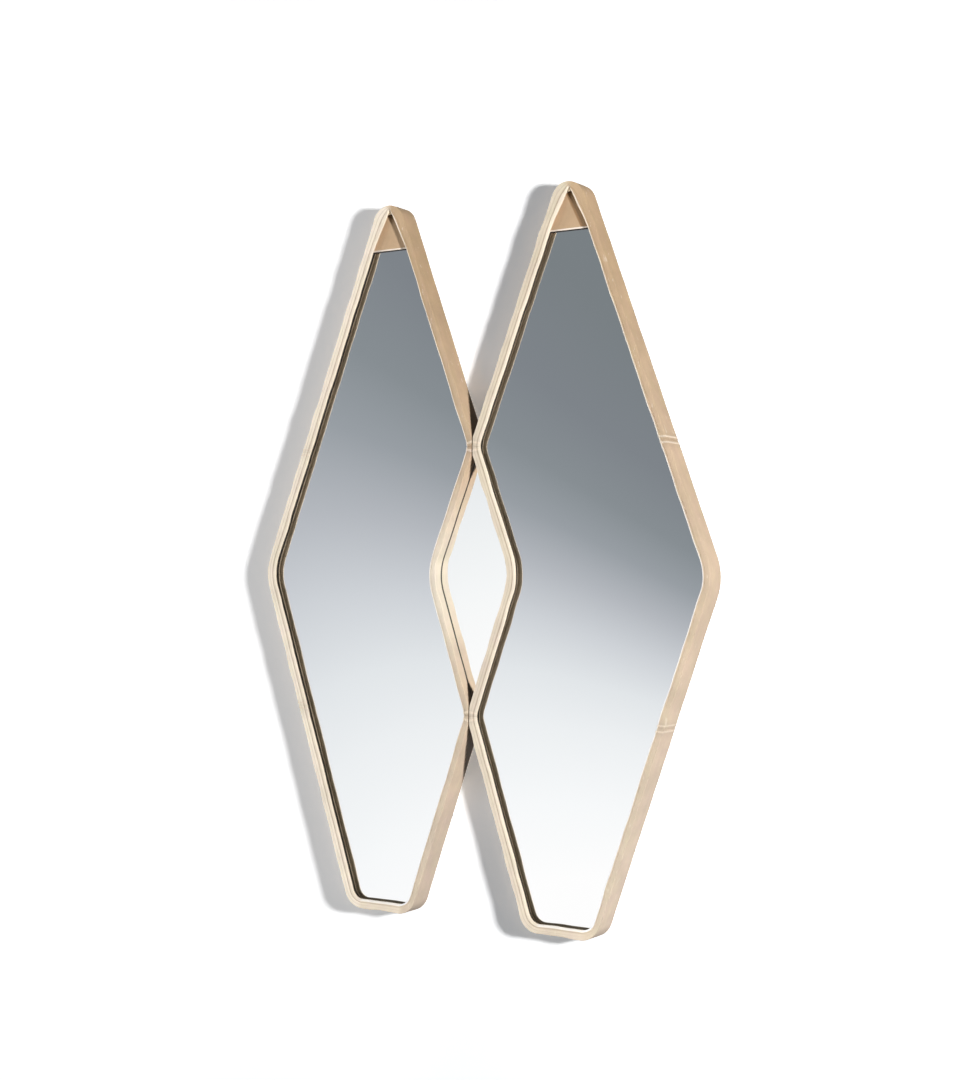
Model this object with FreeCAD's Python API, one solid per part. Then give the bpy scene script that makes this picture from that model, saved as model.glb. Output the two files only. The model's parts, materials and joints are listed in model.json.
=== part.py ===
import FreeCAD
import Part
import math
import os

from FreeCAD import Vector

# Wall mirror of two tall diamond frames that touch at two places and hold a small diamond between them.
# It is drawn with the right frame in the XZ plane: X from the centre line, Z from the level of the side
# corners, and depth D counted backwards from the front face. The left frame is its mirror image.
# The finished pieces are moved so that the origin is midway between the two wall keyholes, on the back plane.

# Outline of the mirror opening, all sizes in mm
HALF_WIDTH = 302.6        # a diamond's vertical axis to the side corner of its opening, at the lip
CROSS_X = 14.4            # centre line to the opening's corner at a contact point
FOLD_RUN = 99.0           # contact point to the folded corner, sideways
PANEL_EDGE = 681.0        # height of the apex panel's lower edge
PANEL_HALF = 43.1         # half the opening's width there
BOTTOM_EDGE = 687.9       # drop of the opening's lower edge below the corners
BOTTOM_HALF = 66.6        # half the opening's width there
SIDE_R = 96.0             # rounding of the side corner
FOLD_R = 124.0            # rounding of the folded corner
CROSS_R = 36.0            # rounding at the contact points
REBATE_CROSS_R = 75.0     # rounding of the rebate at the contact points
BOTTOM_R = 26.0           # rounding of the lower corners
SHOULDER_R = 40.0         # rounding where the sides turn in towards the apex
APEX_R = 2.0              # rounding of the opening's apex
CAP_R = 39.2              # rounding of the ribbon's outside over the apex
TOP_WALL = 8.0            # ribbon thickness at the apex

# Ribbon section
RIBBON_T = 18.6           # width across the front, lip to outer edge
RIBBON_DEPTH = 48.0       # front edge to back edge
HIDE_T = 1.6              # hide on the ribbon
FRONT_DROP = 3.2          # how far the front face falls back from the outer edge to the lip
LIP_W = 6.4               # rounded lip along the opening, across
LIP_DROP = 5.6            # and its depth
TURN_UNDER = 7.6          # hide turned under the lip
CAVITY = 8.0              # lip's overhang in front of the glass
REBATE = 3.5              # step behind the cavity's wall that seats the glass
GLASS_FACE = 19.5         # front edge to glass face
SEAM_GAP = 0.3            # between two hide covers at a seam
JOIN_GAP = 0.3            # between the two frames at a contact point

# Glass and back
GLASS_T = 4.0
GLASS_FIT = 0.8           # glass to rebate wall
BOARD_T = 6.0
BOARD_FIT = 0.6           # back board to rebate wall
SPACER_INSET = 4.0        # spacer frame inside the opening
SPACER_W = 18.0           # width of its bars
SPACER_DROP = 5.0         # its top below the apex block

# Apex block and panel
PANEL_LAP = 9.0           # panel below the block, over the glass
PANEL_HIDE = 1.2
PANEL_T = 2.0
PANEL_FACE = 16.0         # front edge to the panel's hide
PANEL_TOP = 10.0          # panel and cavity end this far below the opening's apex
PANEL_FIT = 0.3           # panel to core

# Hanger
HANGER_LEN = 54.0
HANGER_W = 24.0
HANGER_T = 2.0
HANGER_FIT = 0.2          # plate to its pocket
HANGER_RISE = 8.0         # plate's lower end above the block's lower face
KEY_R = 5.5               # keyhole entry
KEY_SLOT_W = 4.8
KEY_TRAVEL = 16.0         # entry centre to slot end
KEY_RISE = 19.0           # entry centre above the plate's lower end
KEY_ROOM = 10.0           # hollow behind the plate for the screw head
KEY_SPARE = 1.5           # hollow around the keyhole
HANGER_SCREW_INSET = 6.0

# Small screws
SCREW_R = 1.5
SCREW_HEAD_R = 3.0
SCREW_HEAD_T = 1.6
SCREW_LEN = 14.0
SCREW_PLATE_FIT = 0.2     # screw to plate hole

# Turn buttons
BUTTON_LEN = 36.0
BUTTON_W = 7.5
BUTTON_T = 1.5
BUTTON_PLAY = 0.3         # button to what is above and below it
BUTTON_FIT = 0.05         # screw to button hole
BUTTON_UP = 450.0         # height of the upper buttons
BUTTON_DOWN = 500.0       # drop of the lower buttons

# Contact bolts
BOLT_R = 2.0
BOLT_FIT = 0.2
BOLT_HEAD_R = 4.0
BOLT_HEAD_T = 2.0
BOLT_SEAT = 5.4           # centre line to the seat under the head
BOLT_SEAT_FIT = 0.6       # around the head
BOLT_DEPTH = 33.0         # behind the front face
BOLT_STEP = 9.0           # above and below the contact level
NUT_T = 3.0

# Centre mirror
CENTRE_FACE = 24.0        # front edge to the centre glass
CENTRE_FIT = 0.8          # glass to the ribbons
CENTRE_TIP_R = 3.0
TAPE_T = 1.0
TAPE_INSET = 14.0
BRIDGE_LEVEL = 100.0      # bars above and below the corners
BRIDGE_W = 24.0
BRIDGE_T = 2.0
BRIDGE_END = 6.0          # bar past its outer screw
BRIDGE_INNER = 22.0       # inner screws from the centre line

# Wall bumpers
BUMPER_R = 9.0
BUMPER_T = 5.0
BUMPER_TOP = 610.0
BUMPER_LOW = 620.0
BUMPER_LOW_X = 34.0       # low bumpers from the diamond's axis
BUMPER_SIDE_X = 215.0     # side bumper from the diamond's axis

# Worked-out values
HALF_PITCH = CROSS_X + HALF_WIDTH - FOLD_RUN
LEAN_UP = (HALF_WIDTH - PANEL_HALF) / PANEL_EDGE
LEAN_DOWN = (HALF_WIDTH - BOTTOM_HALF) / BOTTOM_EDGE
STRETCH_UP = math.hypot(1.0, LEAN_UP)
STRETCH_DOWN = math.hypot(1.0, LEAN_DOWN)
CROSS_UP = FOLD_RUN / LEAN_UP
CROSS_DOWN = FOLD_RUN / LEAN_DOWN
FOLD_X = CROSS_X + FOLD_RUN
APEX_SHARP = HALF_WIDTH / LEAN_UP
SIN_APEX = LEAN_UP / STRETCH_UP
CAP_TOP = APEX_SHARP + RIBBON_T / SIN_APEX - CAP_R * (1.0 / SIN_APEX - 1.0)
APEX_IN = CAP_TOP - TOP_WALL
BLOCK_FOOT = PANEL_EDGE + PANEL_LAP
PANEL_SEAT = PANEL_FACE + PANEL_HIDE + PANEL_T
REBATE_U = CAVITY + REBATE
LIP_UNDER = FRONT_DROP + LIP_DROP
CAVITY_FACE = LIP_UNDER - HIDE_T
WALL_MID = 0.5 * (REBATE_U + RIBBON_T - HIDE_T)
BOARD_FACE = RIBBON_DEPTH - BOARD_T
HANGER_FOOT = BLOCK_FOOT + HANGER_RISE
KEY_Z = HANGER_FOOT + KEY_RISE
FAR = 3000.0


def offset_points(points, dist):
    """Move every edge of a counter-clockwise outline outwards by dist and return the new corners."""
    edges = []
    for i, (x0, z0) in enumerate(points):
        x1, z1 = points[(i + 1) % len(points)]
        run = math.hypot(x1 - x0, z1 - z0)
        dx, dz = (x1 - x0) / run, (z1 - z0) / run
        edges.append((x0 + dz * dist, z0 - dx * dist, dx, dz))
    moved = []
    for i, (bx, bz, bdx, bdz) in enumerate(edges):
        ax, az, adx, adz = edges[i - 1]
        cross = adx * bdz - adz * bdx
        t = ((bx - ax) * bdz - (bz - az) * bdx) / cross
        moved.append((ax + adx * t, az + adz * t))
    return moved


def rounded_face(points, radii):
    """Flat face in the XZ plane from corners and a rounding radius for each of them."""
    edges = []
    starts, ends, mids = [], [], []
    for i, (x, z) in enumerate(points):
        p = Vector(x, 0, z)
        a = Vector(points[i - 1][0], 0, points[i - 1][1]) - p
        nx, nz = points[(i + 1) % len(points)]
        b = Vector(nx, 0, nz) - p
        a.normalize()
        b.normalize()
        half = 0.5 * a.getAngle(b)
        way = a + b
        way.normalize()
        reach = radii[i] / math.tan(half)
        centre = p + way * (radii[i] / math.sin(half))
        starts.append(p + a * reach)
        ends.append(p + b * reach)
        mids.append(centre - way * radii[i])
    for i in range(len(points)):
        edges.append(Part.Arc(starts[i], mids[i], ends[i]).toShape())
        edges.append(Part.makeLine(ends[i], starts[(i + 1) % len(points)]))
    return Part.Face(Part.Wire(edges))


def slab(face, near, far):
    """Solid between two depths behind the front face."""
    solid = face.extrude(Vector(0, far - near, 0))
    solid.translate(Vector(0, near, 0))
    return solid


def box(x0, x1, d0, d1, z0, z1):
    return Part.makeBox(x1 - x0, d1 - d0, z1 - z0, Vector(x0, d0, z0))


def rod(radius, start, way, length):
    return Part.makeCylinder(radius, length, start, way)


# Corners of the opening, counter-clockwise as seen from the front
OPENING = [
    (HALF_PITCH + HALF_WIDTH, 0.0),
    (HALF_PITCH + PANEL_HALF, PANEL_EDGE),
    (HALF_PITCH, APEX_IN),
    (HALF_PITCH - PANEL_HALF, PANEL_EDGE),
    (CROSS_X, CROSS_UP),
    (FOLD_X, 0.0),
    (CROSS_X, -CROSS_DOWN),
    (HALF_PITCH - BOTTOM_HALF, -BOTTOM_EDGE),
    (HALF_PITCH + BOTTOM_HALF, -BOTTOM_EDGE),
]

# The ribbon's outside follows the straight sides up to one rounded cap
RIBBON = [OPENING[0], (HALF_PITCH, APEX_SHARP)] + OPENING[4:]


def opening_face(u):
    """Opening widened by u; the contact corners ease from the opening's rounding to the rebate's."""
    cross = CROSS_R + min(u, 0.0) + (REBATE_CROSS_R - CROSS_R) * max(u, 0.0) / REBATE_U
    radii = [SIDE_R + u, SHOULDER_R + u, APEX_R + max(u, 0.0), SHOULDER_R + u, cross,
             FOLD_R - u, cross, BOTTOM_R + u, BOTTOM_R + u]
    return rounded_face(offset_points(OPENING, u), radii)


def ribbon_face(inset):
    """Outside of the ribbon, inset from the hide's surface, with flat lands on the centre line."""
    u = RIBBON_T - inset
    radii = [SIDE_R + u, CAP_R - inset, CROSS_R + u, FOLD_R - u, CROSS_R + u, BOTTOM_R + u, BOTTOM_R + u]
    return rounded_face(offset_points(RIBBON, u), radii)


def ribbon_slab(inset, near, far):
    land = 0.5 * JOIN_GAP + inset
    return slab(ribbon_face(inset), near, far).common(box(land, FAR, -FAR, FAR, -FAR, FAR))


def opening_slab(u, near, far):
    return slab(opening_face(u), near, far)


def front_profile():
    """Section of the front as (u, depth) from the outer edge to the lip: a plain slope, then a quarter round."""
    turns = [math.radians(a) for a in (0.0, 30.0, 60.0, 90.0)]
    nose = [(LIP_W * (1.0 - math.sin(a)), FRONT_DROP + LIP_DROP * (1.0 - math.cos(a))) for a in turns]
    return [(RIBBON_T, 0.0)] + nose


def core_profile():
    """The same section one hide thickness further in, ended where the turned-under hide begins."""
    lines = []
    front = front_profile()
    for (u0, d0), (u1, d1) in zip(front, front[1:]):
        run = math.hypot(u1 - u0, d1 - d0)
        du, dd = (u1 - u0) / run, (d1 - d0) / run
        lines.append((u0 + dd * HIDE_T, d0 - du * HIDE_T, du, dd))
    inner = [lines[0][:2]]
    for (au, ad, adu, add), (bu, bd, bdu, bdd) in zip(lines, lines[1:]):
        t = ((bu - au) * bdd - (bd - ad) * bdu) / (adu * bdd - add * bdu)
        inner.append((au + adu * t, ad + add * t))
    u, d, du, dd = lines[-1]
    inner.append((u + du * (CAVITY_FACE - d) / dd, CAVITY_FACE))
    return inner


def front_cutter(profile):
    """Everything in front of a section carried round the opening, as ruled bands."""
    wires = []
    for u, depth in profile:
        radii = [SIDE_R + u, SHOULDER_R + u, APEX_R + u, SHOULDER_R + u, CROSS_R + u,
                 FOLD_R - u, CROSS_R + u, BOTTOM_R + u, BOTTOM_R + u]
        wire = rounded_face(offset_points(OPENING, u), radii).OuterWire
        wire.translate(Vector(0, depth, 0))
        wires.append(wire)
    return Part.makeLoft(wires, True, True)


def between(solid, low, high):
    """The part of a solid between two heights."""
    return solid.common(box(-FAR, FAR, -FAR, FAR, low, high))


def by_x(solid):
    """Separate solids of a cut ring, from the centre line outwards."""
    return sorted(solid.Solids, key=lambda s: s.CenterOfMass.x)


def side_spot(side, upper, u, height):
    """Point and outward direction on a straight side, u outside the opening."""
    lean = LEAN_UP if upper else LEAN_DOWN
    stretch = STRETCH_UP if upper else STRETCH_DOWN
    z = height if upper else -height
    rise = lean if upper else -lean
    if side == "outer":
        x = HALF_PITCH + HALF_WIDTH - lean * height + u * stretch
        way = (1.0 / stretch, rise / stretch)
    elif side == "inner":
        x = HALF_PITCH - HALF_WIDTH + lean * height - u * stretch
        way = (-1.0 / stretch, rise / stretch)
    else:
        x = FOLD_X - lean * height - u * stretch
        way = (-1.0 / stretch, -rise / stretch)
    return x, z, way


def back_screw(x, z, plane):
    """Pan head screw driven in from behind, with its head's underside at the given depth."""
    shank = rod(SCREW_R, Vector(x, plane, z), Vector(0, -1, 0), SCREW_LEN)
    head = rod(SCREW_HEAD_R, Vector(x, plane, z), Vector(0, 1, 0), SCREW_HEAD_T)
    return shank.fuse(head).removeSplitter()


# Places of the fasteners on the right frame
BUTTON_FACE = RIBBON_DEPTH + BUTTON_PLAY
BUTTON_PLANE = BUTTON_FACE + BUTTON_T + BUTTON_PLAY
BUTTONS = {
    "upper_outer": side_spot("outer", True, WALL_MID, BUTTON_UP),
    "upper_inner": side_spot("inner", True, WALL_MID, BUTTON_UP),
    "lower_outer": side_spot("outer", False, WALL_MID, BUTTON_DOWN),
    "lower_inner": side_spot("inner", False, WALL_MID, BUTTON_DOWN),
}
HANGER_SCREWS = [
    (HALF_PITCH, HANGER_FOOT + HANGER_SCREW_INSET),
    (HALF_PITCH, HANGER_FOOT + HANGER_LEN - HANGER_SCREW_INSET),
]
BRIDGE_SCREWS = [side_spot("fold", upper, WALL_MID, BRIDGE_LEVEL)[:2] for upper in (True, False)]
BOLT_LEVELS = [level + step for level in (CROSS_UP, -CROSS_DOWN) for step in (BOLT_STEP, -BOLT_STEP)]


def screw_hole(x, z, plane):
    """Cutter for a screw whose head sits on the given depth."""
    return rod(SCREW_R, Vector(x, plane - SCREW_LEN, z), Vector(0, 1, 0), SCREW_LEN + RIBBON_DEPTH)


# Ring of the wooden core, with every hole that is drilled in it
panel_limit = APEX_IN - PANEL_TOP
inside = ribbon_slab(HIDE_T, core_profile()[0][1], RIBBON_DEPTH).cut(front_cutter(core_profile()))
inside = inside.cut(between(opening_slab(TURN_UNDER, CAVITY_FACE, LIP_UNDER), -FAR, panel_limit))
core = inside.cut(opening_slab(CAVITY, CAVITY_FACE, GLASS_FACE))
core = core.cut(opening_slab(REBATE_U, GLASS_FACE, RIBBON_DEPTH))
for x, z, way in BUTTONS.values():
    core = core.cut(screw_hole(x, z, BUTTON_PLANE))
for x, z in BRIDGE_SCREWS:
    core = core.cut(screw_hole(x, z, RIBBON_DEPTH + BRIDGE_T))
for z in BOLT_LEVELS:
    core = core.cut(rod(BOLT_R + BOLT_FIT, Vector(0, BOLT_DEPTH, z), Vector(1, 0, 0), CROSS_R))
    core = core.cut(rod(BOLT_HEAD_R + BOLT_SEAT_FIT, Vector(BOLT_SEAT, BOLT_DEPTH, z), Vector(1, 0, 0), CROSS_R))

right = {}
right["core_top_inner"], right["core_top_outer"] = by_x(between(core, CROSS_UP, BLOCK_FOOT))
right["core_fold"], right["core_corner"] = by_x(between(core, -CROSS_DOWN, CROSS_UP))
right["core_bottom"] = between(core, -FAR, -CROSS_DOWN)

# Apex block: closes the core, carries the panel in front and the hanger behind
block = between(inside, BLOCK_FOOT, FAR)
block = block.cut(between(opening_slab(CAVITY, CAVITY_FACE, PANEL_SEAT), -FAR, panel_limit))
pocket_w = 0.5 * HANGER_W + HANGER_FIT
block = block.cut(box(HALF_PITCH - pocket_w, HALF_PITCH + pocket_w, RIBBON_DEPTH - HANGER_T, RIBBON_DEPTH,
                      HANGER_FOOT - HANGER_FIT, HANGER_FOOT + HANGER_LEN + HANGER_FIT))
room = KEY_R + KEY_SPARE
room_face = RIBBON_DEPTH - HANGER_T - KEY_ROOM
block = block.cut(box(HALF_PITCH - room, HALF_PITCH + room, room_face, RIBBON_DEPTH,
                      KEY_Z - room, KEY_Z + KEY_TRAVEL + room))
for x, z in HANGER_SCREWS:
    block = block.cut(screw_hole(x, z, RIBBON_DEPTH))
right["apex_block"] = block

# Hide covers: outside face, sloped front and rounded lip, turned under it, parted at the seams
hide = ribbon_slab(0.0, 0.0, RIBBON_DEPTH).cut(front_cutter(front_profile())).cut(inside)
for z in BOLT_LEVELS:
    hide = hide.cut(rod(BOLT_R + BOLT_FIT, Vector(0, BOLT_DEPTH, z), Vector(1, 0, 0), BOLT_SEAT))


half_seam = 0.5 * SEAM_GAP
covers = {"hide_top": between(hide, CROSS_UP + half_seam, FAR).Solids[0]}
middle = by_x(between(hide, -CROSS_DOWN + half_seam, CROSS_UP - half_seam))
covers["hide_fold"], covers["hide_corner"] = middle
covers["hide_bottom"] = between(hide, -FAR, -CROSS_DOWN - half_seam).Solids[0]
right.update(covers)

# Apex panel and its hide, which folds under the lower edge
panel_in = CAVITY - PANEL_FIT
panel_top = panel_limit - PANEL_FIT
panel = between(opening_slab(panel_in, PANEL_FACE + PANEL_HIDE, PANEL_SEAT), PANEL_EDGE + PANEL_HIDE, panel_top)
panel_skin = between(opening_slab(panel_in, PANEL_FACE, PANEL_SEAT), PANEL_EDGE, panel_top)
right["apex_panel"] = panel
right["apex_hide"] = panel_skin.cut(between(opening_slab(REBATE_U, PANEL_FACE + PANEL_HIDE, RIBBON_DEPTH),
                                            PANEL_EDGE + PANEL_HIDE, FAR))

# Glass, spacer frame and back board
glass_u = REBATE_U - GLASS_FIT
right["glass"] = between(opening_slab(glass_u, GLASS_FACE, GLASS_FACE + GLASS_T), -FAR, BLOCK_FOOT - GLASS_FIT)
spacer_top = BLOCK_FOOT - SPACER_DROP
spacer = between(opening_slab(-SPACER_INSET, GLASS_FACE + GLASS_T, BOARD_FACE), -FAR, spacer_top)
spacer_hole = opening_slab(-SPACER_INSET - SPACER_W, GLASS_FACE + GLASS_T, BOARD_FACE)
right["spacer"] = spacer.cut(between(spacer_hole, -FAR, spacer_top - SPACER_W))
right["back_board"] = between(opening_slab(REBATE_U - BOARD_FIT, BOARD_FACE, RIBBON_DEPTH),
                              -FAR, BLOCK_FOOT - BOARD_FIT)

# Hanger plate with its keyhole
plate = box(HALF_PITCH - 0.5 * HANGER_W, HALF_PITCH + 0.5 * HANGER_W, RIBBON_DEPTH - HANGER_T, RIBBON_DEPTH,
            HANGER_FOOT, HANGER_FOOT + HANGER_LEN)
plate = plate.cut(rod(KEY_R, Vector(HALF_PITCH, 0, KEY_Z), Vector(0, 1, 0), FAR))
plate = plate.cut(box(HALF_PITCH - 0.5 * KEY_SLOT_W, HALF_PITCH + 0.5 * KEY_SLOT_W, 0, FAR,
                      KEY_Z, KEY_Z + KEY_TRAVEL))
plate = plate.cut(rod(0.5 * KEY_SLOT_W, Vector(HALF_PITCH, 0, KEY_Z + KEY_TRAVEL), Vector(0, 1, 0), FAR))
for x, z in HANGER_SCREWS:
    plate = plate.cut(rod(SCREW_R + SCREW_PLATE_FIT, Vector(x, 0, z), Vector(0, 1, 0), FAR))
right["hanger_plate"] = plate


def turn_button(x, z, way):
    """Flat strip with round ends on a pivot, pointing inwards over the back board."""
    r = 0.5 * BUTTON_W
    reach = BUTTON_LEN - BUTTON_W
    strip = rod(r, Vector(0, BUTTON_FACE, 0), Vector(0, 1, 0), BUTTON_T)
    strip = strip.fuse(rod(r, Vector(reach, BUTTON_FACE, 0), Vector(0, 1, 0), BUTTON_T))
    strip = strip.fuse(box(0, reach, BUTTON_FACE, BUTTON_FACE + BUTTON_T, -r, r)).removeSplitter()
    strip = strip.cut(rod(SCREW_R + BUTTON_FIT, Vector(0, 0, 0), Vector(0, 1, 0), FAR))
    strip.rotate(Vector(0, 0, 0), Vector(0, 1, 0), -math.degrees(math.atan2(-way[1], -way[0])))
    strip.translate(Vector(x, 0, z))
    return strip


for name, (x, z, way) in BUTTONS.items():
    right["button_" + name] = turn_button(x, z, way)

nodes = {}
for name, solid in right.items():
    nodes["right_" + name] = solid
    nodes["left_" + name] = solid.mirror(Vector(0, 0, 0), Vector(1, 0, 0))


def both_sides(solids):
    """A group of solids and their mirror images."""
    return Part.makeCompound(solids + [s.mirror(Vector(0, 0, 0), Vector(1, 0, 0)) for s in solids])


# Fastener groups
nodes["button_screws"] = both_sides([back_screw(x, z, BUTTON_PLANE) for x, z, way in BUTTONS.values()])
nodes["hanger_screws"] = both_sides([back_screw(x, z, RIBBON_DEPTH) for x, z in HANGER_SCREWS])

bolts = []
nuts = []
for z in BOLT_LEVELS:
    at = Vector(BOLT_SEAT, BOLT_DEPTH, z)
    head = rod(BOLT_HEAD_R, at, Vector(1, 0, 0), BOLT_HEAD_T)
    shank = rod(BOLT_R, at, Vector(-1, 0, 0), 2.0 * BOLT_SEAT + NUT_T)
    bolts.append(head.fuse(shank).removeSplitter())
    nut = rod(BOLT_HEAD_R, Vector(-BOLT_SEAT, BOLT_DEPTH, z), Vector(-1, 0, 0), NUT_T)
    nuts.append(nut.cut(rod(BOLT_R, Vector(0, BOLT_DEPTH, z), Vector(-1, 0, 0), FAR)))
nodes["join_bolts"] = Part.makeCompound(bolts)
nodes["join_nuts"] = Part.makeCompound(nuts)

# Centre diamond between the two folded corners
CENTRE = [
    (FOLD_X - 0.5 * RIBBON_T * (STRETCH_UP + STRETCH_DOWN), 0.0),
    (0.0, (FOLD_X - RIBBON_T * STRETCH_UP) / LEAN_UP),
    (-FOLD_X + 0.5 * RIBBON_T * (STRETCH_UP + STRETCH_DOWN), 0.0),
    (0.0, -(FOLD_X - RIBBON_T * STRETCH_DOWN) / LEAN_DOWN),
]


def centre_slab(inset, near, far):
    side = FOLD_R - RIBBON_T - inset
    radii = [side, CENTRE_TIP_R, side, CENTRE_TIP_R]
    return slab(rounded_face(offset_points(CENTRE, -inset), radii), near, far)


tape_face = CENTRE_FACE + GLASS_T
centre_board = centre_slab(CENTRE_FIT, tape_face + TAPE_T, RIBBON_DEPTH)
bridge_screws = []
for level, (x, z), name in zip((BRIDGE_LEVEL, -BRIDGE_LEVEL), BRIDGE_SCREWS, ("upper", "lower")):
    half = x + BRIDGE_END
    bar = box(-half, half, RIBBON_DEPTH, RIBBON_DEPTH + BRIDGE_T, level - 0.5 * BRIDGE_W, level + 0.5 * BRIDGE_W)
    for sx in (-x, -BRIDGE_INNER, BRIDGE_INNER, x):
        bar = bar.cut(rod(SCREW_R + SCREW_PLATE_FIT, Vector(sx, 0, z), Vector(0, 1, 0), FAR))
        centre_board = centre_board.cut(screw_hole(sx, z, RIBBON_DEPTH + BRIDGE_T))
        bridge_screws.append(back_screw(sx, z, RIBBON_DEPTH + BRIDGE_T))
    nodes["bridge_bar_" + name] = bar
nodes["bridge_screws"] = Part.makeCompound(bridge_screws)
nodes["centre_glass"] = centre_slab(CENTRE_FIT, CENTRE_FACE, tape_face)
nodes["centre_tape"] = centre_slab(CENTRE_FIT + TAPE_INSET, tape_face, tape_face + TAPE_T)
nodes["centre_board"] = centre_board

# Bumpers that stand the back off the wall
bumper_spots = [
    (HALF_PITCH, BUMPER_TOP),
    (HALF_PITCH + BUMPER_LOW_X, -BUMPER_LOW),
    (HALF_PITCH - BUMPER_LOW_X, -BUMPER_LOW),
    (HALF_PITCH + BUMPER_SIDE_X, 0.0),
]
nodes["bumpers"] = both_sides([rod(BUMPER_R, Vector(x, RIBBON_DEPTH, z), Vector(0, 1, 0), BUMPER_T)
                               for x, z in bumper_spots])

os.makedirs("parts", exist_ok=True)
for name, solid in nodes.items():
    solid.translate(Vector(0, -RIBBON_DEPTH, -KEY_Z))
    solid.exportStep("parts/" + name + ".step")
    valid = solid.isValid() and len(solid.Solids) > 0
    print("%-26s solids %d volume %.0f valid %s" % (name, len(solid.Solids), solid.Volume, valid))

print("keyhole level %.2f cap top %.2f contact levels %.2f %.2f" % (KEY_Z, CAP_TOP, CROSS_UP, -CROSS_DOWN))
for name, (x, z, way) in BUTTONS.items():
    print("button %s at %.3f %.3f inward %.4f %.4f" % (name, x, z - KEY_Z, -way[0], -way[1]))
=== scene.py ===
"""Looks of the twin diamond wall mirror: hide covers, stitching, glass, backing and the stage round them."""

import json
import math

import bpy
import numpy as np
from bpy.props import FloatProperty, FloatVectorProperty, PointerProperty
from mathutils import Matrix, Vector


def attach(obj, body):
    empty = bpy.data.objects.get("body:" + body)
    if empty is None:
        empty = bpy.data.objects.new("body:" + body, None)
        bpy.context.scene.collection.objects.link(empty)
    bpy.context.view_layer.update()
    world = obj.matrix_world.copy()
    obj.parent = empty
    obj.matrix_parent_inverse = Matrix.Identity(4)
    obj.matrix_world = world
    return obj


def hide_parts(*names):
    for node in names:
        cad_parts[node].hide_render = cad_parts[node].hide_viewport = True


bl_info = {
    "name": "Twin diamond wall mirror",
    "version": (1, 0, 0),
    "blender": (4, 5, 0),
    "location": "3D View > Sidebar > Mirror",
    "description": "Dresses the packed wall mirror with stitched hide, mirror glass and a plain stage",
    "category": "Object",
}

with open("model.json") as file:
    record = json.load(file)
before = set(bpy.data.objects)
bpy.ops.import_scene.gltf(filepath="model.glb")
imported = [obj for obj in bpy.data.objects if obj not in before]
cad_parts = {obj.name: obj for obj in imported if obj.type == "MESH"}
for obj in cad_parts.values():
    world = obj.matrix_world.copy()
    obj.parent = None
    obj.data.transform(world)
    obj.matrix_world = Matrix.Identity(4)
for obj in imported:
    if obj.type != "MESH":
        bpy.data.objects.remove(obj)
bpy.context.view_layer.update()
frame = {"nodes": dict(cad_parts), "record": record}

BODY = "mirror"
SIDES = ("right", "left")
MM = 1000.0

# Outline of the right opening at its lip, in millimetres from the centre line and the side corners' level
HALF_PITCH = 218.0
CROSS_UP, CROSS_DOWN = 259.8, 288.57
CONTACT_X, CONTACT_R = 14.4, 36.0
CAP_R, CAP_TOP = 39.2, 775.45
PANEL_EDGE, PANEL_HALF, APEX_IN = 681.0, 43.1, 767.45
SHOULDER_R, APEX_R = 40.0, 2.0
SIDE_REACH, SIDE_R = 302.6, 96.0
FOOT_HALF, FOOT_Z, FOOT_R = 66.6, -687.9, 26.0
FOLD_X, FOLD_R = 113.4, 124.0
CORNERS = (
    ("contact_up", CONTACT_X, CROSS_UP, CONTACT_R),
    ("shoulder_in", HALF_PITCH - PANEL_HALF, PANEL_EDGE, SHOULDER_R),
    ("apex", HALF_PITCH, APEX_IN, APEX_R),
    ("shoulder_out", HALF_PITCH + PANEL_HALF, PANEL_EDGE, SHOULDER_R),
    ("side", HALF_PITCH + SIDE_REACH, 0.0, SIDE_R),
    ("bottom_out", HALF_PITCH + FOOT_HALF, FOOT_Z, FOOT_R),
    ("bottom_in", HALF_PITCH - FOOT_HALF, FOOT_Z, FOOT_R),
    ("contact_down", CONTACT_X, -CROSS_DOWN, CONTACT_R),
    ("fold", FOLD_X, 0.0, FOLD_R),
)

# Ribbon and hide in millimetres: u runs from the lip outwards, depth from the front edge back to the wall
ORIGIN_Z, DEPTH = 717.0, 48.0
RIBBON_T, RIBBON_MID = 18.6, 9.0
CONTACT_MID_R = CONTACT_R + RIBBON_MID
HIDE_T, LAND, SEAM_HALF = 1.6, 0.15, 0.15
FACE_POINTS, SHEAR_REACH = 13, 80.0
EDGE_BACK, EDGE_IN, SLOPE_CROWN = 1.6, 1.5, 0.35
EDGE_U, FACE_U = 17.0, 17.4
TURN_UNDER = 7.6
WANDER_REST = 30.0
SEAM_ROLL, SEAM_ROLL_REACH = 0.4, 0.9
RIDGE, RIDGE_HALF = 0.45, 1.1
NOTCH, NOTCH_DEEP = 2.2, 12.0

# Apex panel's hide in millimetres
PANEL_TOP, PANEL_FACE, PANEL_BACK = 757.1, 16.0, 19.2
PANEL_SKIN, PANEL_BEND, PANEL_BEND_BACK = 1.2, 2.2, 1.8
PANEL_CROWN, PANEL_CROWN_REACH, PANEL_SAG = 0.5, 60.0, 0.25

# Camera, wall, floor and lamps, in metres and degrees
SENSOR, PICTURE_HIGH = 36.0, 1080.0
CAMERA_TURN = 33.0
STAGE_HALF, FLOOR_FRONT, FLOOR_Z = 3.2, -4.5, -2.4
WALL_Y, WALL_TOP = 0.0053, 1.3
STAGE_GLOW = 0.66
KEY_PLACE, KEY_R, KEY_REACH = (3.4, -1.93, -0.46), 0.17, 3.9
WALL_SHARE, TOP_FILL = 0.26, 0.5

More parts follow.
